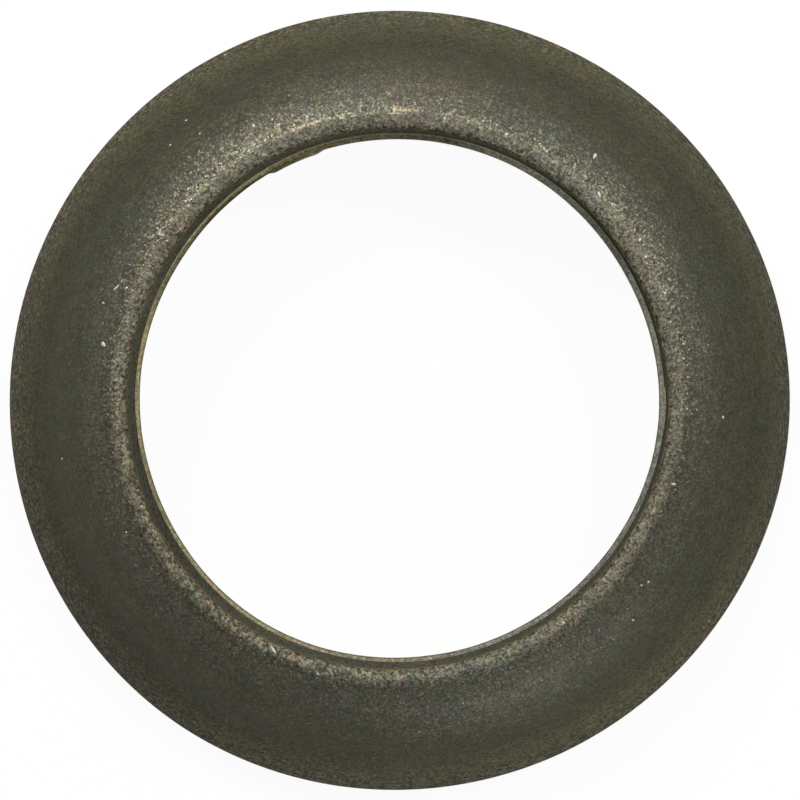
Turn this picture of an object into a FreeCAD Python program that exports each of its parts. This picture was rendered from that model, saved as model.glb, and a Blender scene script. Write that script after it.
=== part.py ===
import FreeCAD, Part
import math
import os

# Exhaust gasket of the doughnut kind, pressed and sintered from iron powder as one ring.
# The origin is the centre of the bore on the flat base, and +Z points to the small end.
# Lengths are in millimetres and angles in degrees. The angles of the section are slopes,
# measured from the horizontal, so they grow from the flat crest to the upright rim.

# Bore: a thin lip at its foot grips the pipe, and the wall above the lip stands clear of it
pipe_diameter = 44.45
pipe_gap = 0.125
lip_width = 0.4
lip_height = 1.2
lip_rounding = 0.25
lip_foot_break = 0.1

# Tag of pressing flash on the lip's inner edge
tag_rise = 0.2
tag_height = 0.85
tag_start_angle = 106.0
tag_sweep_angle = 14.0
tag_lead_in_angle = 3.0
tag_run_out_angle = 1.5

# Crest: the narrow flat land round the bore at the small end
crest_width = 1.2
crest_rounding = 1.2
mouth_rounding = 0.7

# Sealing face: a bulging band that steepens as it leaves the crest
face_width = 5.9
face_crest_angle = 21.0
face_flank_angle = 56.0

# Flank: a straight cone that carries the sealing face on to the shoulder
flank_width = 1.6

# Skirt: the steeper band between the shoulder and the rim
skirt_width = 2.05
skirt_shoulder_angle = 61.0
skirt_rim_angle = 71.0
skirt_rounding = 0.8

# Rim: the upright outside wall that stands on the base
rim_height = 2.2
rim_chamfer = 0.4

# Radii that follow, from the bore outwards
lip_radius = pipe_diameter / 2 + pipe_gap
bore_radius = lip_radius + lip_width
crest_radius = bore_radius + crest_width
flank_radius = crest_radius + face_width
shoulder_radius = flank_radius + flank_width
rim_radius = shoulder_radius + skirt_width


def section_radius(width, first_angle, last_angle):
    """Radius of the arc that crosses width while its slope grows between the two angles."""
    return width / (math.sin(math.radians(last_angle)) - math.sin(math.radians(first_angle)))


def arc_drop(width, first_angle, last_angle):
    """Height that such an arc loses."""
    fall = math.cos(math.radians(first_angle)) - math.cos(math.radians(last_angle))
    return section_radius(width, first_angle, last_angle) * fall


# Heights that follow, from the rim upwards
shoulder_height = rim_height + arc_drop(skirt_width, skirt_shoulder_angle, skirt_rim_angle)
flank_height = shoulder_height + flank_width * math.tan(math.radians(face_flank_angle))
ring_height = flank_height + arc_drop(face_width, face_crest_angle, face_flank_angle)


def section_point(radius, height):
    """Point of the half section, which lies in the XZ plane."""
    return FreeCAD.Vector(radius, 0, height)


def bulging_arc(radius, height, width, first_angle, last_angle):
    """Arc of the section that leaves (radius, height) outwards and down, steepening as it goes."""
    size = section_radius(width, first_angle, last_angle)
    centre_radius = radius - size * math.sin(math.radians(first_angle))
    centre_height = height - size * math.cos(math.radians(first_angle))
    points = []
    for angle in (first_angle, (first_angle + last_angle) / 2, last_angle):
        points.append(section_point(centre_radius + size * math.sin(math.radians(angle)),
                                    centre_height + size * math.cos(math.radians(angle))))
    return Part.Arc(*points).toShape()


def ring_section():
    """Half section of the ring, before its edges are rounded."""
    face = bulging_arc(crest_radius, ring_height, face_width, face_crest_angle, face_flank_angle)
    flank = Part.makeLine(section_point(flank_radius, flank_height),
                          section_point(shoulder_radius, shoulder_height))
    skirt = bulging_arc(shoulder_radius, shoulder_height, skirt_width,
                        skirt_shoulder_angle, skirt_rim_angle)
    rim_base_bore_and_crest = Part.makePolygon([
        section_point(rim_radius, rim_height),
        section_point(rim_radius, rim_chamfer),
        section_point(rim_radius - rim_chamfer, 0),
        section_point(lip_radius + lip_foot_break, 0),
        section_point(lip_radius, lip_foot_break),
        section_point(lip_radius, lip_height),
        section_point(bore_radius, lip_height),
        section_point(bore_radius, ring_height),
        section_point(crest_radius, ring_height),
    ])
    edges = [face, flank, skirt] + rim_base_bore_and_crest.Edges
    return Part.Face(Part.Wire(Part.__sortEdges__(edges)))


def round_edge(solid, radius, height, rounding):
    """Fillet the circular edge that lies at this radius and height."""
    near = 1e-4
    picked = []
    for edge in solid.Edges:
        curve = edge.Curve
        if not isinstance(curve, Part.Circle):
            continue
        if abs(curve.Radius - radius) < near and abs(curve.Center.z - height) < near:
            picked.append(edge)
    return solid.makeFillet(rounding, picked)


def make_ring():
    """The whole ring without the tag of flash."""
    ring = ring_section().revolve(FreeCAD.Vector(0, 0, 0), FreeCAD.Vector(0, 0, 1), 360)
    ring = round_edge(ring, bore_radius, ring_height, mouth_rounding)
    ring = round_edge(ring, crest_radius, ring_height, crest_rounding)
    ring = round_edge(ring, lip_radius, lip_height, lip_rounding)
    return round_edge(ring, rim_radius, rim_height, skirt_rounding)


def plan_point(radius, angle):
    """Point of the base plane at this radius and angle."""
    return FreeCAD.Vector(radius * math.cos(math.radians(angle)),
                          radius * math.sin(math.radians(angle)), 0)


def make_tag():
    """Sliver of flash that thickens slowly at one end and stops short at the other."""
    root = lip_radius + lip_width / 2
    tip = lip_radius - tag_rise
    start = tag_start_angle
    end = start + tag_sweep_angle
    middle = (start + end) / 2
    full_from = start + tag_lead_in_angle
    full_to = end - tag_run_out_angle
    tip_arc = Part.Arc(plan_point(tip, full_from), plan_point(tip, middle), plan_point(tip, full_to))
    root_arc = Part.Arc(plan_point(root, end), plan_point(root, middle), plan_point(root, start))
    plan = Part.Face(Part.Wire([
        Part.makeLine(plan_point(root, start), plan_point(lip_radius, start)),
        Part.makeLine(plan_point(lip_radius, start), plan_point(tip, full_from)),
        tip_arc.toShape(),
        Part.makeLine(plan_point(tip, full_to), plan_point(lip_radius, end)),
        Part.makeLine(plan_point(lip_radius, end), plan_point(root, end)),
        root_arc.toShape(),
    ]))
    tag = plan.extrude(FreeCAD.Vector(0, 0, tag_height - lip_foot_break))
    tag.translate(FreeCAD.Vector(0, 0, lip_foot_break))
    return tag


gasket_ring = make_ring().fuse(make_tag()).removeSplitter()

os.makedirs("parts", exist_ok=True)
gasket_ring.exportStep("parts/gasket_ring.step")
print("outside diameter", round(2 * rim_radius, 2), "height", round(ring_height, 2))
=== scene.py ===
import math
import random

import bpy
import numpy as np
from mathutils import Matrix, Vector, noise
from mathutils.bvhtree import BVHTree


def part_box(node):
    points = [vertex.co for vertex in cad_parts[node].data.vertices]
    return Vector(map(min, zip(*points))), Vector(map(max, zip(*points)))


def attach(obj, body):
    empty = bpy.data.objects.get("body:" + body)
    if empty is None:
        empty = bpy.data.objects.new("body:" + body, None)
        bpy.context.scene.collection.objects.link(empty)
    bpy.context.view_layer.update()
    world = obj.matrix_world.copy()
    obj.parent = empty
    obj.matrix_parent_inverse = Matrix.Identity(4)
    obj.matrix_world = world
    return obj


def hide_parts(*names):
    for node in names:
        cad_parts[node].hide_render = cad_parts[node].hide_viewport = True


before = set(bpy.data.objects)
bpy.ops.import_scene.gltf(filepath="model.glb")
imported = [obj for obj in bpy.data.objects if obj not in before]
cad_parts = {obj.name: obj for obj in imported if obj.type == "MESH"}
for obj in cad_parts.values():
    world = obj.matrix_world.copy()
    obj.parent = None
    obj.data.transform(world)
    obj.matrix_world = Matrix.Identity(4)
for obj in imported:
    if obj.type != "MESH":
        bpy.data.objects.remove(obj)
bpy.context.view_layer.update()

# Exhaust gasket: one pressed and sintered ring, seen straight down its axis from the small end.
# The ring is built here in millimetres, from the sizes of the part's source, with the wear of
# its surface and some painted light and shade in its colour. It is turned into metres when its
# mesh is made. Materials, camera and floor work in metres, and MM turns the lengths given in
# millimetres into them.
MM = 0.001
ring_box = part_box("gasket_ring")
rim_radius = ring_box[1].x / MM
ring_height = ring_box[1].z / MM

# Bore and lip
lip_radius = 22.35
bore_radius = 22.75
lip_height = 1.2
lip_rounding = 0.25
lip_foot_break = 0.1

# Tag of pressing flash on the lip
tag_rise = 0.2
tag_height = 0.85
tag_edge_height = 0.04
tag_edge_share = 0.85
tag_top_step = 0.01
tag_start_angle = 106.0
tag_sweep_angle = 14.0
tag_lead_in_angle = 3.0
tag_run_out_angle = 1.5

# Crest, sealing face, flank, skirt and rim, from the bore outwards
crest_radius = 23.95
crest_rounding = 1.2
mouth_rounding = 0.7
flank_radius = 29.85
face_crest_angle = 21.0
face_flank_angle = 56.0
shoulder_radius = 31.45
skirt_shoulder_angle = 61.0
skirt_rim_angle = 71.0
skirt_rounding = 0.8
rim_height = 2.2
rim_chamfer = 0.4

# Out-of-round of the two outlines: (waves round the ring, height in mm, angle of a crest)
rim_waves = [(2, 0.070, 42.9), (3, 0.085, -2.7), (6, 0.017, -5.0)]
bore_waves = [(2, 0.038, 52.6), (3, 0.084, -9.9), (4, 0.028, -13.0), (6, 0.036, -3.5)]
bore_shift_x = -0.017
bore_shift_y = 0.137
rim_trim = 0.17
bore_trim = 0.162

# The mouth and the crest sit off centre, and the bore wall leans to meet them
mouth_shift_x = -0.20
mouth_shift_y = 0.07
crest_shift_x = -0.14
crest_shift_y = 0.19
mouth_spread = 0.09
mouth_end = 23.3
crest_shift_full = 24.3
crest_shift_start = 26.5
lean_full_height = 13.0

# The bore wall's foot stands off the lip on one side, and is set back on the right
foot_shift = 0.07
foot_shift_angle = 55.0
hollow_depth = 0.11
hollow_step_angle = 2.5
hollow_step_half_width = 0.4
hollow_full_angle = -1.5
hollow_end_angle = -14.0

# Unevenness of the surface: (size of the swells in mm, depth in mm)
surface_swells = [(7.0, 0.020), (2.2, 0.010), (0.8, 0.008)]
lip_swells = [(3.5, 0.035), (1.2, 0.020)]
lip_swell_shift = 40.0

# Burr left by the punch along the crest, in the upper part of the photo
burr_radius = 24.18
burr_half_width = 0.16
burr_rise = 0.045
burr_middle_angle = 100.0
burr_half_angle = 24.0
burr_full_share = 0.7
burr_piece_length = 0.9
burr_unbroken_share = 0.35
burr_break_strength = 1.3

# Mesh of the ring, which stays just below the top of the solid. A row counts as lying on a
# face if it is no further than the margin from it.
top_gap = 0.001
columns = 720
arc_points = 160
corner_rows = 6
margin = 0.01


# Section of the ring

def slope_sine(angle):
    return math.sin(math.radians(angle))


def slope_cosine(angle):
    return math.cos(math.radians(angle))


def line(start, end):
    return np.array([start, end], float)


def bulging_arc(radius, height, end_radius, first_angle, last_angle):
    """Arc that leaves (radius, height) outwards and down while its slope grows."""
    size = (end_radius - radius) / (slope_sine(last_angle) - slope_sine(first_angle))
    angles = np.radians(np.linspace(first_angle, last_angle, arc_points))
    radii = radius + size * (np.sin(angles) - slope_sine(first_angle))
    heights = height + size * (np.cos(angles) - slope_cosine(first_angle))
    return np.column_stack([radii, heights])


def distances_along(points):
    steps = np.hypot(*np.diff(points, axis=0).T)
    return np.concatenate([[0.0], np.cumsum(steps)])


def points_at(points, distances):
    run = distances_along(points)
    return np.column_stack([np.interp(distances, run, points[:, k]) for k in (0, 1)])


def turn_between(before, after):
    """Angle by which the section turns from one run into the next."""
    arriving = before[-1] - before[-2]
    leaving = after[1] - after[0]
    cosine = arriving @ leaving / (np.linalg.norm(arriving) * np.linalg.norm(leaving))
    return math.acos(max(-1.0, min(1.0, cosine)))


def corner_points(start, corner, end, turn):
    """Points strictly between start and end on the round arc that touches both runs."""
    weight = math.cos(turn / 2)
    points = []
    for row in range(1, corner_rows):
        t = row / corner_rows
        shares = np.array([(1 - t) ** 2, 2 * t * (1 - t) * weight, t ** 2])
        points.append((shares @ np.array([start, corner, end])) / shares.sum())
    return np.array(points)


def section_runs():
    """Runs of the half section: points, distance between rows, rounding of the far corner."""
    face = bulging_arc(crest_radius, ring_height, flank_radius, face_crest_angle, face_flank_angle)
    flank_height = face[-1][1]
    flank_slope = math.tan(math.radians(face_flank_angle))
    shoulder_height = flank_height - (shoulder_radius - flank_radius) * flank_slope
    skirt = bulging_arc(shoulder_radius, shoulder_height, rim_radius,
                        skirt_shoulder_angle, skirt_rim_angle)
    lip_foot = (lip_radius, lip_foot_break)
    tag_edge = (lip_radius, tag_height - tag_edge_height)
    tag_top = (lip_radius, tag_height)
    above_tag = (lip_radius, tag_height + tag_top_step)
    lip_corner = (lip_radius, lip_height)
    wall_foot = (bore_radius, lip_height)
    mouth_corner = (bore_radius, ring_height)
    crest_corner = (crest_radius, ring_height)
    flank_top = (flank_radius, flank_height)
    shoulder = (shoulder_radius, shoulder_height)
    rim_top = (rim_radius, rim_height)
    chamfer_top = (rim_radius, rim_chamfer)
    chamfer_foot = (rim_radius - rim_chamfer, 0)
    base_edge = (lip_radius + lip_foot_break, 0)
    return [
        (line(lip_foot, tag_edge), 0.35, 0.0),
        (line(tag_edge, tag_top), 0.04, 0.0),
        (line(tag_top, above_tag), 0.01, 0.0),
        (line(above_tag, lip_corner), 0.1, lip_rounding),
        (line(lip_corner, wall_foot), 0.08, 0.05),
        (line(wall_foot, mouth_corner), 1.2, mouth_rounding),
        (line(mouth_corner, crest_corner), 0.12, crest_rounding),
        (face, 0.30, 0.0),
        (line(flank_top, shoulder), 0.4, 0.6),
        (skirt, 0.4, skirt_rounding),
        (line(rim_top, chamfer_top), 0.45, 0.1),
        (line(chamfer_top, chamfer_foot), 0.3, 0.1),
        (line(chamfer_foot, base_edge), 2.2, 0.04),
        (line(base_edge, lip_foot), 0.1, 0.03),
    ]


def section_rows():
    """Closed half section as rows of (radius, height), with every corner rounded."""
    runs = section_runs()
    turns = []
    for index, run in enumerate(runs):
        turns.append(turn_between(run[0], runs[(index + 1) % len(runs)][0]))
    trims = [run[2] * math.tan(turn / 2) for run, turn in zip(runs, turns)]
    rows = []
    for index, (points, step, rounding) in enumerate(runs):
        length = distances_along(points)[-1]
        first = trims[index - 1]
        last = length - trims[index]
        count = max(1, round((last - first) / step))
        places = np.linspace(first, last, count + 1)
        if rounding == 0:
            places = places[:-1]
        rows.append(points_at(points, places))
        if rounding > 0:
            following = runs[(index + 1) % len(runs)][0]
            end = points_at(following, [trims[index]])[0]
            rows.append(corner_points(rows[-1][-1], points[-1], end, turns[index]))
    return np.vstack(rows)


# Surface of the ring

def waves_at(waves, angle):
    """Sum of the waves round the ring at this angle in degrees."""
    total = 0.0
    for count, height, crest in waves:
        total = total + height * np.cos(np.radians(count * (angle - crest)))
    return total


def swell(place, swells, shift):
    """Depth of the unevenness at a place, between nought and the depths added up."""
    depth = 0.0
    for size, height in swells:
        depth += height * (0.5 + 0.5 * noise.noise(Vector(place) / size + Vector((shift, 0, 0))))
    return depth


def smooth_share(value, start, end):
    share = np.clip((value - start) / (end - start), 0, 1)
    return share * share * (3 - 2 * share)


def tag_share(angle):
    """Share of its full rise that the tag has at this angle."""
    end = tag_start_angle + tag_sweep_angle
    rising = smooth_share(angle, tag_start_angle, tag_start_angle + tag_lead_in_angle)
    falling = smooth_share(angle, end, end - tag_run_out_angle)
    return np.minimum(rising, falling)


def hollow_share(angle):
    """Share of its full depth that the set-back has at this angle, from -180 to 180."""
    sudden = smooth_share(angle, hollow_step_angle + hollow_step_half_width,
                          hollow_step_angle - hollow_step_half_width)
    gradual = smooth_share(angle, hollow_end_angle, hollow_full_angle)
    return np.minimum(sudden, gradual)


def burr_height(place, radius, angle):
    """Height of the broken burr at a place of the crest."""
    across = max(0.0, 1 - abs(radius - burr_radius) / burr_half_width)
    along = max(0.0, 1 - abs(angle - burr_middle_angle) / burr_half_angle)
    wobble = noise.noise(Vector(place) / burr_piece_length)
    broken = max(0.0, burr_unbroken_share + wobble * burr_break_strength)
    return burr_rise * across * min(1.0, 2 * along) * min(1.0, broken)


def row_normals(rows):
    """Outward direction of the section at each row."""
    along = np.roll(rows, -1, axis=0) - np.roll(rows, 1, axis=0)
    along /= np.linalg.norm(along, axis=1)[:, None]
    return np.column_stack([-along[:, 1], along[:, 0]])


def lean_share(height):
    """Share of the mouth's shift that the bore wall has at this height."""
    return np.clip((height - lip_height) / (ring_height - mouth_rounding - lip_height), 0, 1)


def past_mouth_share(radius):
    return np.clip((radius - mouth_end) / (crest_radius - mouth_end), 0, 1)


def out_of_round(rows, angles):
    """How far each vertex moves out from its radius, row by row."""
    radius = rows[:, 0][:, None]
    height = rows[:, 1][:, None]
    outward = np.clip((radius - bore_radius) / (rim_radius - bore_radius), 0, 1)
    plan = outward * (waves_at(rim_waves, angles) - rim_trim)
    plan = plan + (1 - outward) * (waves_at(bore_waves, angles) - bore_trim)

    on_lip_wall = (radius < lip_radius + 2 * margin) & (height > lip_foot_break / 2)
    tag_heights = [tag_height - tag_edge_height, tag_height, tag_height + tag_top_step]
    tag = np.interp(rows[:, 1], tag_heights, [1, tag_edge_share, 0])
    plan = plan - on_lip_wall * tag[:, None] * tag_rise * tag_share(angles)

    signed = (angles + 180.0) % 360.0 - 180.0
    on_bore_wall = (radius > bore_radius - 0.15) & (radius < bore_radius + mouth_rounding)
    on_bore_wall = on_bore_wall & (height > lip_height - margin)
    fade = np.clip((ring_height - height) / (ring_height - lip_height), 0, 1)
    plan = plan + on_bore_wall * fade * hollow_depth * hollow_share(signed)

    lean = lean_share(height)
    plan = plan + mouth_spread * lean * (1 - past_mouth_share(radius))
    off_lip = np.cos(np.radians(angles - foot_shift_angle))
    return plan + on_bore_wall * (1 - lean) * foot_shift * off_lip


def shifted_circles(rows, angles):
    """Vertices of the ring with its circles off centre, before the swells of the surface."""
    radius = rows[:, 0][:, None]
    height = rows[:, 1][:, None]
    outward = np.clip((radius - bore_radius) / (rim_radius - bore_radius), 0, 1)
    near_crest = (crest_shift_start - radius) / (crest_shift_start - crest_shift_full)
    moved = lean_share(height) * np.clip(near_crest, 0, 1)
    past_mouth = past_mouth_share(radius)
    shift_x = mouth_shift_x + (crest_shift_x - mouth_shift_x) * past_mouth
    shift_y = mouth_shift_y + (crest_shift_y - mouth_shift_y) * past_mouth
    radii = radius + out_of_round(rows, angles)
    x = radii * np.cos(np.radians(angles))
    y = radii * np.sin(np.radians(angles))
    x = x + (1 - outward) * (1 - moved) * bore_shift_x + moved * shift_x
    y = y + (1 - outward) * (1 - moved) * bore_shift_y + moved * shift_y
    z = np.broadcast_to(height, x.shape)
    return np.stack([x, y, z], axis=2)


def ring_vertices(rows):
    """Vertices of the ring in millimetres, row by row."""
    angles = np.arange(columns) * 360.0 / columns
    points = shifted_circles(rows, angles)
    normals = row_normals(rows)
    for index, (row_radius, row_height) in enumerate(rows):
        if row_height < top_gap:
            continue
        at_lip = row_radius < bore_radius and row_height < lip_height + margin
        swells = lip_swells if at_lip else surface_swells
        shift = lip_swell_shift * at_lip
        depth = np.array([swell(place, swells, shift) for place in points[index]])
        if abs(row_radius - burr_radius) < burr_half_width:
            depth -= [burr_height(place, row_radius, angle)
                      for place, angle in zip(points[index], angles)]
        outward, upward = normals[index]
        points[index, :, 0] -= depth * outward * np.cos(np.radians(angles))
        points[index, :, 1] -= depth * outward * np.sin(np.radians(angles))
        points[index, :, 2] -= depth * upward
    points[:, :, 2] = np.clip(points[:, :, 2], 0.0, ring_height - top_gap)
    return points.reshape(-1, 3)


def ring_faces(row_count):
    faces = []
    for row in range(row_count):
        above = (row + 1) % row_count
        for column in range(columns):
            beside = (column + 1) % columns
            faces.append((row * columns + column, above * columns + column,
                          above * columns + beside, row * columns + beside))
    return faces


def make_mesh(name, vertices, faces, material):
    """Smooth mesh from vertices in millimetres."""
    mesh = bpy.data.meshes.new(name)
    mesh.from_pydata((np.asarray(vertices) * MM).tolist(), [], faces)
    mesh.polygons.foreach_set("use_smooth", [True] * len(mesh.polygons))
    mesh.validate()
    mesh.update()
    made = bpy.data.objects.new(name, mesh)
    bpy.context.collection.objects.link(made)
    made.data.materials.append(material)
    return made


# Materials

class Graph:
    """Node tree of a material, with one short call for each kind of node used here."""

    def __init__(self, name):
        self.material = bpy.data.materials.new(name)
        self.material.use_nodes = True
        self.tree = self.material.node_tree
        self.tree.nodes.clear()

    def set_input(self, socket, value):
        if isinstance(value, bpy.types.NodeSocket):
            self.tree.links.new(value, socket)
        else:
            socket.default_value = value

    def add(self, kind, inputs=None, **settings):
        node = self.tree.nodes.new(kind)
        for key, value in settings.items():
            setattr(node, key, value)
        for key, value in (inputs or {}).items():
            self.set_input(node.inputs[key], value)
        return node

    def maths(self, operation, first, second=0.0, clamp=False):
        made = self.add("ShaderNodeMath", {0: first, 1: second},
                        operation=operation, use_clamp=clamp)
        return made.outputs[0]

    def times(self, first, second):
        return self.maths("MULTIPLY", first, second)

    def vector(self, operation, first, second=(0.0, 0.0, 0.0)):
        """Vector result of an operation on two vectors."""
        made = self.add("ShaderNodeVectorMath", {0: first, 1: second}, operation=operation)
        return made.outputs[0]

    def length(self, vector):
        made = self.add("ShaderNodeVectorMath", {0: vector}, operation="LENGTH")
        return made.outputs["Value"]

    def scaled(self, vector, scale):
        made = self.add("ShaderNodeVectorMath", {0: vector, "Scale": scale}, operation="SCALE")
        return made.outputs[0]

    def remap(self, value, low, high, new_low, new_high):
        made = self.add("ShaderNodeMapRange",
                        {"Value": value, "From Min": low, "From Max": high,
                         "To Min": new_low, "To Max": new_high})
        return made.outputs["Result"]

    def remap_mm(self, value, low, high, new_low, new_high):
        """Remap of a length, with its low and high given in millimetres."""
        return self.remap(value, low * MM, high * MM, new_low, new_high)

    # The Mix node has sockets for each type of data: 2 and 3 for numbers, 6 and 7 for colours
    def mix_colour(self, share, first, second, kind="MIX"):
        made = self.add("ShaderNodeMix", data_type="RGBA", blend_type=kind)
        self.set_input(made.inputs[0], share)
        self.set_input(made.inputs[6], first)
        self.set_input(made.inputs[7], second)
        return made.outputs[2]

    def mix_value(self, share, first, second):
        made = self.add("ShaderNodeMix", {0: share, 2: first, 3: second}, data_type="FLOAT")
        return made.outputs[0]

    def by_radius(self, radius, stops):
        """Value that runs straight from stop to stop; each stop is (radius in mm, value)."""
        low = stops[0][0]
        high = stops[-1][0]
        share = self.remap_mm(radius, low, high, 0.0, 1.0)
        ramp = self.add("ShaderNodeValToRGB", {"Fac": share})
        marks = ramp.color_ramp.elements
        while len(marks) < len(stops):
            marks.new(0.5)
        for mark, (stop_radius, value) in zip(marks, stops):
            mark.position = (stop_radius - low) / (high - low)
            mark.color = (value, value, value, 1.0)
        return ramp.outputs["Color"]

    def on_side(self, around, mark):
        """Value of a one-sided mark at a direction round the ring; some marks are wear, some
        painted light and shade.
        """
        angle, start, full, away, there = mark
        way = (slope_cosine(angle), slope_sine(angle), 0.0)
        made = self.add("ShaderNodeVectorMath", {0: around, 1: way}, operation="DOT_PRODUCT")
        return self.remap(made.outputs["Value"], start, full, away, there)

    def noise(self, place, size_mm, detail=2.0, roughness=0.5):
        made = self.add("ShaderNodeTexNoise",
                        {"Vector": place, "Scale": 1000.0 / size_mm,
                         "Detail": detail, "Roughness": roughness})
        return made.outputs["Fac"]

    def cells(self, place, size_mm):
        made = self.add("ShaderNodeTexVoronoi",
                        {"Vector": place, "Scale": 1000.0 / size_mm, "Randomness": 1.0})
        return made.outputs

    def channels(self, colour):
        return self.add("ShaderNodeSeparateColor", {"Color": colour}).outputs

    def finish(self, surface):
        self.add("ShaderNodeOutputMaterial", {"Surface": surface})
        return self.material


# Finish from the bore to the rim:
# (radius in mm, colour level, share of bare metal, contrast of the grain, roughness)
# The colour level rising again over the skirt towards the rim is painted light for the skirt's
# brighter edge.
finish_and_light_zones = [
    (23.10, 0.146, 0.00, 1.20, 0.50),
    (23.90, 0.142, 0.50, 1.05, 0.50),
    (24.30, 0.118, 0.80, 0.20, 0.43),
    (25.00, 0.112, 0.62, 0.15, 0.43),
    (26.20, 0.104, 0.64, 0.15, 0.43),
    (27.20, 0.079, 0.60, 0.20, 0.44),
    (28.60, 0.061, 0.58, 0.45, 0.48),
    (29.90, 0.040, 0.38, 0.80, 0.55),
    (31.50, 0.054, 0.05, 0.90, 0.75),
    (33.20, 0.061, 0.00, 0.95, 0.80),
]
iron_gloss = 0.18
# The bore has no gloss, and its dark colour level is painted shade
bore_gloss = 0.0
bore_shade_level = 0.070
bore_roughness = 0.95
lip_level = 0.37
lip_metal = 0.25
lip_roughness = 0.60
burr_level = 0.33

# Tints, which multiply the grey of the colour level
inner_tint = (1.00, 0.975, 0.735, 1.0)
outer_tint = (1.00, 0.965, 0.500, 1.0)
rust_tint = (1.06, 0.890, 0.560, 1.0)
# Tint of the painted shade in the bore
bore_shade_tint = (1.00, 1.00, 0.760, 1.0)
lip_left_tint = (1.15, 1.010, 0.610, 1.0)
lip_right_tint = (0.97, 1.00, 0.820, 1.0)
burr_tint = (1.00, 0.930, 0.600, 1.0)
cool_tint = (0.96, 0.99, 0.98, 1.0)
warm_tint = (1.05, 1.00, 0.96, 1.0)

# Marks that lie on one side of the ring, some wear and some painted light and shade: the angle
# they face, the cosines to that angle between which they come in, their value away from there
# and their value there
# Painted light: the skirt is made lighter on its lower side.
skirt_painted_light = (288.0, 0.50, 0.95, 0.0, 0.54)
# Painted shade in the bore reaches further out on the lower left
bore_shade_spread = (220.0, 0.50, 1.00, 0.0, 1.0 * MM)
# Painted light: the bore wall is made paler on its upper left side
wall_painted_light = (130.0, 0.20, 0.90, 1.0, 1.55)
# Painted light on the lip and on the foot of the wall above it, where the ring shades them, and a
# painted dark edge along the lip's rounded corner
lip_light_height = (85.0, 0.10, 0.80, 1.6 * MM, 3.4 * MM)
lip_side_light = (100.0, -1.00, 1.00, 0.55, 1.45)
lip_upper_right_light = (45.0, 0.82, 0.97, 1.0, 1.85)
lip_dark_edge_width = (65.0, 0.50, 0.90, 0.11 * MM, 0.21 * MM)
lip_upper_left_shade = (138.0, 0.88, 0.98, 0.0, 1.0)
burr_presence = (burr_middle_angle, slope_cosine(burr_half_angle),
                 slope_cosine(burr_half_angle * burr_full_share), 0.0, 1.0)
grain_calm = (225.0, 0.00, 0.70, 1.0, 0.68)

# Bounds of the zones, in mm. Depths run down from the crest along the mouth and the wall.
outer_tint_radii = (26.5, 30.0)
# Radii between which the painted light on the skirt's lower side comes in
skirt_light_radii = (29.0, 31.2)
glint_radii = (23.5, 29.0)
inside_radii = (23.0, 23.3)
# Depths between which the painted shade of the bore comes in, and how ragged its edge is
bore_shade_depths = (-0.5, 4.5)
bore_shade_raggedness = 7.0
crumb_first_depths = (-0.8, 0.2)
crumb_last_depths = (1.2, 3.0)
# Painted dark edge along the lip's rounded corner, and the painted light line on its outer half
lip_dark_edge_height = 1.03
lip_dark_edge_core = 0.03
lip_light_line_radii = (22.50, 22.62)
burr_half_widths = (0.06, 0.17)

# How dark and how light each pattern makes what it covers, as factors
soft_grain_shades = (0.82, 1.18)
mottle_shades = (0.90, 1.10)
streak_shades = (0.92, 1.08)
# Speckle in the painted shade of the bore
bore_shade_speckle = (0.30, 1.75)
crumb_shades = (0.50, 1.40)
lip_shades = (0.78, 1.22)
# Painted shade of the lip's rounded corner, and painted light and shade of its two halves
lip_dark_edge_shade = 0.35
lip_light_line_shades = (0.40, 1.5)
lip_grain_share = 0.5
burr_shades = (0.10, 1.15)
roughness_spread = (0.80, 1.22)

# Sizes in mm of the patterns in the finish
blotch_size = 6.0
mottle_size = 1.3
speckle_size = 0.32
soft_grain_size = 0.20
crumb_size = 0.38
burr_grain_size = 0.7
burr_patch_size = 2.4
grain_size = 0.155
glint_size = 0.200
grain_colour_size = 0.17
fleck_pattern_size = 0.15
fleck_patch_size = 0.35

# Streaks run round the ring: noise cells in each unit of direction and in each metre outwards
streak_cells_round = 4.0
streak_cells_outward = 5000.0

# How far the bare grains tilt, how much they shine, and the share of their own colour
grain_tilt = 0.47
grain_shine = 0.60
grain_shine_spread = 1.2
glint_shine = 2.2
grain_colour_share = 0.20
relief_strength = 0.6
relief_depth = 0.03


def centred_radius(graph, height, flat, far_out):
    """Radius measured from the middle of the mouth and the crest, which sit off centre."""
    moved = graph.remap_mm(far_out, crest_shift_full, crest_shift_start, 1.0, 0.0)
    moved = graph.times(moved, graph.remap_mm(height, lip_height, lean_full_height, 0.0, 1.0))
    shift_x = graph.remap_mm(far_out, mouth_end, crest_radius,
                             -mouth_shift_x * MM, -crest_shift_x * MM)
    shift_y = graph.remap_mm(far_out, mouth_end, crest_radius,
                             -mouth_shift_y * MM, -crest_shift_y * MM)
    shift = graph.add("ShaderNodeCombineXYZ", {"X": shift_x, "Y": shift_y}).outputs[0]
    return graph.length(graph.vector("ADD", flat, graph.scaled(shift, moved)))


def streaks(graph, around, radius):
    """Fine streaks round the ring, left by handling."""
    outward = graph.times(radius, streak_cells_outward)
    outward = graph.add("ShaderNodeCombineXYZ", {"Z": outward}).outputs[0]
    stretch = (streak_cells_round, streak_cells_round, 0.0)
    streak_place = graph.add("ShaderNodeVectorMath", {0: around, 1: stretch, 2: outward},
                             operation="MULTIPLY_ADD").outputs[0]
    return graph.noise(streak_place, 1000.0)


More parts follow.
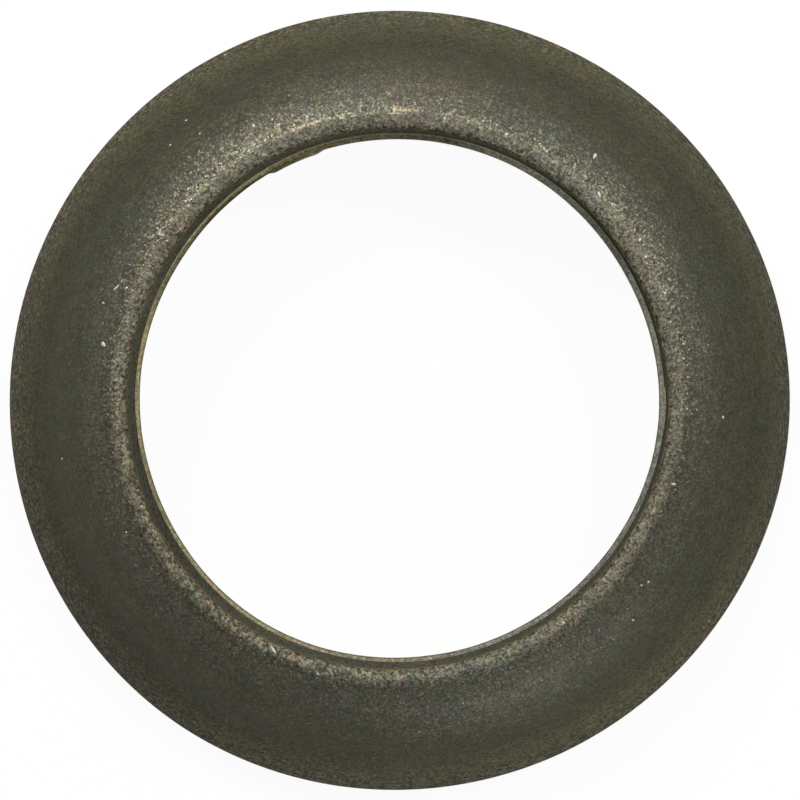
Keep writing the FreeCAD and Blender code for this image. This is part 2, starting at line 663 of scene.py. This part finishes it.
def depth_below_crest(graph, height, radius, around, speckle):
    """Ragged depth measured down from the crest along the mouth and the bore wall."""
    mouth_sum = (bore_radius + ring_height) * MM
    depth = graph.maths("SUBTRACT", mouth_sum, graph.maths("ADD", height, radius))
    ragged = graph.times(graph.maths("SUBTRACT", speckle, 0.5), bore_shade_raggedness * MM)
    depth = graph.maths("ADD", depth, ragged)
    return graph.maths("ADD", depth, graph.on_side(around, bore_shade_spread))


def crumbly_edge(graph, place, depth):
    """Factor for the colour level: dark pits beside bright grains at the edge of the mouth."""
    crumbs = graph.remap(graph.noise(place, crumb_size, detail=3.0), 0.46, 0.55, 0.0, 1.0)
    mouth = graph.times(graph.remap_mm(depth, *crumb_first_depths, 0.0, 1.0),
                        graph.remap_mm(depth, *crumb_last_depths, 1.0, 0.0))
    return graph.mix_value(mouth, 1.0, graph.remap(crumbs, 0.0, 1.0, *crumb_shades))


def lip_shade(graph, height, far_out, around, speckle):
    """Factor for the lip's level: painted light, more on the upper side where the ring shades the
    lip, and painted shade along its rounded corner.
    """
    side_light = graph.times(graph.on_side(around, lip_side_light), graph.on_side(around, lip_upper_right_light))
    from_edge = graph.maths("ABSOLUTE", graph.maths("SUBTRACT", height, lip_dark_edge_height * MM))
    dark_edge_end = graph.on_side(around, lip_dark_edge_width)
    dark_edge = graph.remap(from_edge, lip_dark_edge_core * MM, dark_edge_end, lip_dark_edge_shade, 1.0)
    shade = graph.times(side_light, dark_edge)
    shade = graph.times(shade, graph.remap(speckle, 0.3, 0.7, *lip_shades))
    # In the upper left, painted light on its outer half and painted shade on its inner half
    light_line = graph.remap_mm(far_out, *lip_light_line_radii, *lip_light_line_shades)
    dull = graph.mix_value(graph.on_side(around, lip_upper_left_shade), 1.0, light_line)
    return graph.times(shade, dull)


def burr_share(graph, place, radius, around):
    """Share of the surface where the burr along the crest stands proud."""
    away = graph.maths("ABSOLUTE", graph.maths("SUBTRACT", radius, burr_radius * MM))
    across = graph.remap_mm(away, *burr_half_widths, 1.0, 0.0)
    grains = graph.noise(place, burr_grain_size, detail=3.0)
    grains = graph.remap(grains, 0.45, 0.55, 0.0, 1.0)
    patches = graph.remap(graph.noise(place, burr_patch_size), 0.42, 0.56, *burr_shades)
    on_crest = graph.times(graph.on_side(around, burr_presence), across)
    return graph.times(on_crest, graph.times(grains, patches))


def grain_gloss(graph, place, radius, cell):
    """Factor for the metal's level: each grain shines by its own share, a few larger ones glint."""
    glint_cells = graph.cells(place, glint_size)
    pick = graph.channels(glint_cells["Color"])
    rare = graph.remap_mm(radius, *glint_radii, 0.90, 0.995)
    close = graph.remap(glint_cells["Distance"], 0.30, 0.50, 1.0, 0.0)
    glint = graph.times(graph.maths("GREATER_THAN", pick[0], rare), close)
    shine = graph.times(graph.times(cell[2], cell[2]), grain_shine_spread)
    shine = graph.maths("ADD", shine, graph.times(glint, glint_shine))
    return graph.maths("ADD", shine, grain_shine)


def sintered_iron_material(name, gloss_level):
    """Finish of the ring, with painted shade on the bore wall; gloss_level is the shine of its dull
    skin, which the bore's material goes without.
    """
    graph = Graph(name)
    place = graph.add("ShaderNodeTexCoord").outputs["Object"]
    split = graph.add("ShaderNodeSeparateXYZ", {"Vector": place}).outputs
    height = split["Z"]
    flat = graph.add("ShaderNodeCombineXYZ", {"X": split["X"], "Y": split["Y"]}).outputs[0]
    far_out = graph.length(flat)
    around = graph.vector("NORMALIZE", flat)
    radius = centred_radius(graph, height, flat, far_out)
    level = graph.by_radius(radius, [(zone[0], zone[1]) for zone in finish_and_light_zones])
    metal = graph.by_radius(radius, [(zone[0], zone[2]) for zone in finish_and_light_zones])
    contrast = graph.by_radius(radius, [(zone[0], zone[3] / 2) for zone in finish_and_light_zones])
    rough = graph.by_radius(radius, [(zone[0], zone[4]) for zone in finish_and_light_zones])

    # Patterns shared by what follows
    blotch = graph.noise(place, blotch_size, detail=3.0)
    mottle = graph.noise(place, mottle_size)
    speckle = graph.noise(place, speckle_size)
    soft_grain = graph.noise(place, soft_grain_size, detail=1.0, roughness=0.6)
    cell_colour = graph.cells(place, grain_size)["Color"]
    cell = graph.channels(cell_colour)

    # Painted shade darkens the bore wall and fades through a rust-brown edge into the crest
    depth = depth_below_crest(graph, height, radius, around, speckle)
    bore_shade = graph.remap_mm(depth, *bore_shade_depths, 0.0, 1.0)
    bare = graph.maths("SUBTRACT", 1.0, bore_shade)
    rust = graph.maths("MULTIPLY", graph.times(bore_shade, bare), 4.0, clamp=True)
    rust = graph.times(rust, rust)

    # The lip at the foot of the wall; on the upper side its colour reaches up the shaded wall as
    # painted light
    inside = graph.remap_mm(radius, *inside_radii, 1.0, 0.0)
    lip_top = graph.on_side(around, lip_light_height)
    lip = graph.times(graph.remap(height, lip_height * MM, lip_top, 1.0, 0.0), inside)

    # Colour level: painted light on the skirt's lower side, grain, mottling and streaks, then
    # painted shade in the bore, crumbs, lip and burr
    skirt_light = graph.times(graph.on_side(around, skirt_painted_light),
                       graph.remap_mm(radius, *skirt_light_radii, 0.0, 1.0))
    level = graph.times(level, graph.maths("ADD", skirt_light, 1.0))
    grain = graph.times(graph.maths("SUBTRACT", cell[0], 0.5), contrast)
    grain = graph.mix_value(lip, grain, graph.times(grain, lip_grain_share))
    light = graph.maths("ADD", graph.times(grain, 2.0), 1.0)
    light = graph.times(light, graph.remap(soft_grain, 0.25, 0.75, *soft_grain_shades))
    light = graph.times(light, graph.remap(mottle, 0.3, 0.7, *mottle_shades))
    streak = streaks(graph, around, radius)
    light = graph.times(light, graph.remap(streak, 0.3, 0.7, *streak_shades))
    level = graph.times(level, light)
    # Painted shade on the bore wall, with painted light on its upper left side
    wall_shade_level = graph.times(graph.remap(speckle, 0.3, 0.7, *bore_shade_speckle), bore_shade_level)
    wall_shade_level = graph.times(wall_shade_level, graph.on_side(around, wall_painted_light))
    level = graph.mix_value(bore_shade, level, graph.times(light, wall_shade_level))
    level = graph.times(level, crumbly_edge(graph, place, depth))
    shade = lip_shade(graph, height, far_out, around, speckle)
    level = graph.mix_value(lip, level, graph.times(graph.times(light, lip_level), shade))
    burr = burr_share(graph, place, radius, around)
    level = graph.mix_value(burr, level, graph.times(light, burr_level))

    # Split of that level into a dull and a shining share
    metal = graph.mix_value(lip, graph.times(metal, bare), lip_metal)
    tilt_share = graph.times(graph.times(metal, grain_tilt), graph.on_side(around, grain_calm))
    gloss = grain_gloss(graph, place, radius, cell)
    shine = graph.times(graph.times(level, metal), gloss)
    dull = graph.times(level, graph.maths("SUBTRACT", 1.0, metal))
    level = graph.maths("ADD", dull, shine)
    metal = graph.maths("DIVIDE", shine, level)

    outer = graph.remap_mm(radius, *outer_tint_radii, 0.0, 1.0)
    tint = graph.mix_colour(outer, inner_tint, outer_tint)
    tint = graph.mix_colour(bore_shade, tint, bore_shade_tint)
    tint = graph.mix_colour(rust, tint, rust_tint)
    side = graph.add("ShaderNodeSeparateXYZ", {"Vector": around}).outputs["X"]
    lip_tint = graph.mix_colour(graph.remap(side, -0.6, 0.6, 0.0, 1.0),
                                lip_left_tint, lip_right_tint)
    tint = graph.mix_colour(lip, tint, lip_tint)
    tint = graph.mix_colour(burr, tint, burr_tint)
    warmth = graph.mix_colour(graph.remap(blotch, 0.35, 0.65, 0.0, 1.0), cool_tint, warm_tint)
    tint = graph.mix_colour(1.0, tint, warmth, "MULTIPLY")
    grey = graph.add("ShaderNodeCombineColor", {0: level, 1: level, 2: level}).outputs[0]
    colour = graph.mix_colour(1.0, grey, tint, "MULTIPLY")
    grain_colour = graph.cells(place, grain_colour_size)["Color"]
    colour = graph.mix_colour(grain_colour_share, colour, grain_colour, "SOFT_LIGHT")

    rough = graph.times(rough, graph.remap(soft_grain, 0.25, 0.75, *roughness_spread))
    rough = graph.mix_value(bore_shade, rough, bore_roughness)
    rough = graph.mix_value(lip, rough, lip_roughness)

    # Every bare grain faces its own way, which makes it glint or stay dull under a lamp
    relief = graph.maths("ADD", soft_grain, graph.times(cell[1], 0.5))
    bump = graph.add("ShaderNodeBump", {"Height": relief, "Strength": relief_strength,
                                        "Distance": relief_depth * MM})
    tilt = graph.vector("SUBTRACT", cell_colour, (0.5, 0.5, 0.5))
    normal = graph.vector("ADD", bump.outputs["Normal"], graph.scaled(tilt, tilt_share))
    normal = graph.vector("NORMALIZE", normal)
    shader = graph.add("ShaderNodeBsdfPrincipled",
                       {"Base Color": colour, "Metallic": metal, "Roughness": rough,
                        "Specular IOR Level": gloss_level, "Normal": normal})
    return graph.finish(shader.outputs[0])


def bare_fleck_material():
    """Bright bare metal of the flecks, yellower and duller on those along the burr."""
    graph = Graph("bare_fleck")
    place = graph.add("ShaderNodeTexCoord").outputs["Object"]
    uneven = graph.noise(place, fleck_pattern_size)
    colour = graph.mix_colour(uneven, (0.70, 0.67, 0.58, 1.0), (0.48, 0.45, 0.37, 1.0))
    ahead = graph.add("ShaderNodeSeparateXYZ", {"Vector": place}).outputs["Y"]
    on_burr = graph.times(graph.remap_mm(ahead, 23.6, 23.9, 0.0, 1.0),
                          graph.remap_mm(ahead, 25.0, 25.3, 1.0, 0.0))
    patchy = graph.remap(graph.noise(place, fleck_patch_size), 0.42, 0.58, 0.0, 1.0)
    yellow = graph.mix_colour(patchy, (0.52, 0.50, 0.34, 1.0), (0.27, 0.22, 0.12, 1.0))
    colour = graph.mix_colour(on_burr, colour, yellow)
    rough = graph.remap(uneven, 0.3, 0.7, 0.40, 0.65)
    bump = graph.add("ShaderNodeBump", {"Height": uneven, "Strength": 0.4,
                                        "Distance": relief_depth * MM})
    shader = graph.add("ShaderNodeBsdfPrincipled",
                       {"Base Color": colour, "Metallic": 0.25, "Roughness": rough,
                        "Normal": bump.outputs["Normal"]})
    return graph.finish(shader.outputs[0])


def floor_material():
    """White to the camera and in reflections, and a lit pale surface for the shadow."""
    graph = Graph("white_floor")
    path = graph.add("ShaderNodeLightPath").outputs
    seen = graph.maths("MAXIMUM", path["Is Camera Ray"], path["Is Glossy Ray"])
    seen = graph.maths("MAXIMUM", seen, path["Is Transmission Ray"])
    share = graph.times(seen, 0.95)
    lit = graph.add("ShaderNodeBsdfDiffuse", {"Color": (0.9, 0.9, 0.9, 1.0)})
    white = graph.add("ShaderNodeEmission", {"Color": (1.0, 1.0, 1.0, 1.0), "Strength": 1.0})
    mixed = graph.add("ShaderNodeMixShader",
                      {0: share, 1: lit.outputs[0], 2: white.outputs[0]})
    return graph.finish(mixed.outputs[0])


# Bright flecks bedded in the surface, where the photo shows the larger ones:
# (angle, radius in mm, length in mm, width in mm, turn of the length from the radius)
flecks = [
    (169.2, 25.2, 0.62, 0.36, -35), (158.2, 25.5, 0.66, 0.22, 70), (161.7, 26.1, 0.36, 0.30, 0),
    (131.8, 28.9, 0.26, 0.20, 30), (116.6, 33.0, 0.30, 0.22, 80), (107.9, 25.0, 0.36, 0.28, 20),
    (107.4, 24.3, 0.36, 0.24, 80), (117.9, 26.1, 0.42, 0.34, 10), (126.7, 28.0, 0.26, 0.22, 0),
    (127.2, 29.7, 0.24, 0.20, 50), (145.4, 23.6, 0.30, 0.20, 40), (90.7, 24.5, 0.72, 0.58, 20),
    (51.3, 26.3, 0.52, 0.34, 10), (45.8, 24.1, 0.56, 0.34, 60), (42.6, 24.3, 0.38, 0.24, 40),
    (33.7, 24.3, 0.44, 0.32, 20), (30.2, 24.0, 0.32, 0.24, 0), (22.0, 24.1, 0.34, 0.26, 50),
    (316.9, 27.0, 0.24, 0.20, 0), (343.1, 24.1, 0.40, 0.22, 25), (324.0, 25.9, 0.28, 0.20, 60),
    (322.7, 25.6, 0.26, 0.20, 10), (306.6, 23.2, 0.26, 0.20, 0), (324.6, 32.4, 0.26, 0.20, 70),
    (357.0, 27.3, 0.36, 0.22, -30), (243.3, 23.4, 0.80, 0.24, 60), (253.6, 23.9, 0.28, 0.20, 20),
    (205.8, 25.4, 0.28, 0.20, 40), (189.8, 28.8, 0.26, 0.20, 0), (202.3, 23.3, 0.26, 0.18, 60),
    (90.9, 24.05, 1.30, 0.20, 90), (93.1, 25.0, 0.46, 0.14, 60), (80.7, 23.95, 0.22, 0.26, 0),
    (101.4, 24.13, 0.52, 0.20, 88), (98.9, 24.15, 0.80, 0.14, 88), (103.7, 24.35, 0.36, 0.26, 60),
    (121.0, 24.4, 0.28, 0.18, 60), (119.6, 24.6, 0.24, 0.18, 30), (123.0, 24.3, 0.28, 0.16, 80),
]
fleck_corners = 9
fleck_rise = 0.025
fleck_sink = 0.05
fleck_top_share = 0.75
fleck_shoulder_share = 0.7
fleck_reach = (0.60, 1.45)
fleck_seed = 11


def fleck_mesh(ring_points, faces_of_ring):
    """Vertices and faces of all the flecks: small uneven domes bedded in the ring's mesh."""
    surface = BVHTree.FromPolygons(ring_points.tolist(), faces_of_ring)
    shapes = random.Random(fleck_seed)
    vertices = []
    faces = []
    for angle, radius, length, width, turn in flecks:
        outward = Matrix.Rotation(math.radians(angle), 3, "Z") @ Vector((1.0, 0.0, 0.0))
        above = outward * radius + Vector((0.0, 0.0, ring_height + 1.0))
        middle, up = surface.ray_cast(above, Vector((0.0, 0.0, -1.0)))[:2]
        along = (outward - up * up.dot(outward)).normalized()
        along.rotate(Matrix.Rotation(math.radians(turn), 3, up))
        side = up.cross(along)
        first = len(vertices)
        vertices.append(middle + up * fleck_rise)
        for corner in range(fleck_corners):
            way = 2 * math.pi * corner / fleck_corners
            reach = shapes.uniform(*fleck_reach)
            offset = along * (0.5 * length * reach * math.cos(way))
            offset += side * (0.5 * width * reach * math.sin(way))
            vertices.append(middle + offset - up * fleck_sink)
            vertices.append(middle + offset * fleck_top_share
                            + up * fleck_rise * fleck_shoulder_share)
        low_corners = [first + 1 + 2 * corner for corner in range(fleck_corners)]
        for low, next_low in zip(low_corners, low_corners[1:] + low_corners[:1]):
            high = low + 1
            next_high = next_low + 1
            faces.append((low, next_low, next_high, high))
            faces.append((high, next_high, first))
        faces.append(tuple(reversed(low_corners)))
    for vertex in vertices:
        vertex.z = min(vertex.z, ring_height - top_gap)
    return vertices, faces


# Stage, camera and lights, in metres

# Floor whose far edge turns up into a low backdrop, as (radius, height) from the middle out
floor_profile = [(0.3, 0.0), (2.0, 0.0), (5.0, 0.0), (5.4, 0.04), (5.7, 0.16), (5.9, 0.5)]
floor_segments = 96
floor_drop = 0.00003

camera_height = 0.600
camera_shift_x = 0.000104
camera_shift_y = 0.000044
camera_lens = 314.9
camera_sensor = 36.0

# Lamps: name, strength, angle from straight above, angle round the ring, size, colour.
# Strength 1 lights a white surface that faces the lamp to 1.
lamps = [
    ("lamp_right", 0.47, 34.8, 43.5, 0.20, (0.985, 1.0, 0.985)),
    ("lamp_top", 0.63, 42.9, 118.7, 0.34, (1.0, 0.970, 0.950)),
    ("lamp_front", 0.23, 80.0, 295.0, 0.60, (1.0, 1.0, 1.0)),
    ("lamp_back", 0.14, 80.0, 90.0, 0.60, (1.0, 1.0, 1.0)),
]
lamp_distance = 1.0
world_level = 0.20


def make_floor():
    vertices = [(0.0, 0.0, -floor_drop)]
    for radius, height in floor_profile:
        for segment in range(floor_segments):
            angle = 2 * math.pi * segment / floor_segments
            vertices.append((radius * math.cos(angle), radius * math.sin(angle),
                             height - floor_drop))
    faces = []
    for segment in range(floor_segments):
        beside = (segment + 1) % floor_segments
        faces.append((0, 1 + segment, 1 + beside))
        for ring in range(len(floor_profile) - 1):
            inner = 1 + ring * floor_segments
            outer = inner + floor_segments
            faces.append((inner + segment, outer + segment, outer + beside, inner + beside))
    floor = make_mesh("floor", np.array(vertices) / MM, faces, floor_material())


def add_lamp(name, strength, zenith, azimuth, size, colour):
    """Soft round lamp aimed at the ring."""
    light = bpy.data.lights.new(name, "AREA")
    light.shape = "DISK"
    light.size = size
    light.color = colour
    light.energy = strength * (math.pi * lamp_distance) ** 2
    lamp = bpy.data.objects.new(name, light)
    across = lamp_distance * slope_sine(zenith)
    lamp.location = (across * slope_cosine(azimuth), across * slope_sine(azimuth),
                     lamp_distance * slope_cosine(zenith))
    lamp.rotation_euler = lamp.location.to_track_quat("Z", "Y").to_euler()
    lamp.visible_camera = False
    bpy.context.collection.objects.link(lamp)


def make_camera():
    camera = bpy.data.objects.new("camera", bpy.data.cameras.new("camera"))
    camera.data.sensor_width = camera_sensor
    camera.data.lens = camera_lens
    camera.location = (camera_shift_x, camera_shift_y, camera_height)
    bpy.context.collection.objects.link(camera)
    bpy.context.scene.camera = camera


def make_world():
    world = bpy.data.worlds.new("soft_room")
    world.use_nodes = True
    background = world.node_tree.nodes["Background"]
    background.inputs["Color"].default_value = (1.0, 1.0, 1.0, 1.0)
    background.inputs["Strength"].default_value = world_level
    bpy.context.scene.world = world


bpy.context.scene.view_settings.view_transform = "Standard"

# The ring has one material outside and a second without gloss in its bore
rows = section_rows()
ring_points = ring_vertices(rows)
faces_of_ring = ring_faces(len(rows))
ring = make_mesh("pressed_ring", ring_points, faces_of_ring,
                 sintered_iron_material("sintered_iron", iron_gloss))
ring.data.materials.append(sintered_iron_material("bore_iron", bore_gloss))
in_bore = (rows[:, 0] < bore_radius + 0.2) & (rows[:, 1] > lip_foot_break / 2)
ring.data.polygons.foreach_set("material_index", np.repeat(in_bore.astype(int), columns))
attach(ring, "root")
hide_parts("gasket_ring")

fleck_vertices, fleck_faces = fleck_mesh(ring_points, faces_of_ring)
fleck_piece = make_mesh("bare_flecks", fleck_vertices, fleck_faces, bare_fleck_material())
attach(fleck_piece, "root")

make_floor()
for lamp_values in lamps:
    add_lamp(*lamp_values)
make_world()
make_camera()
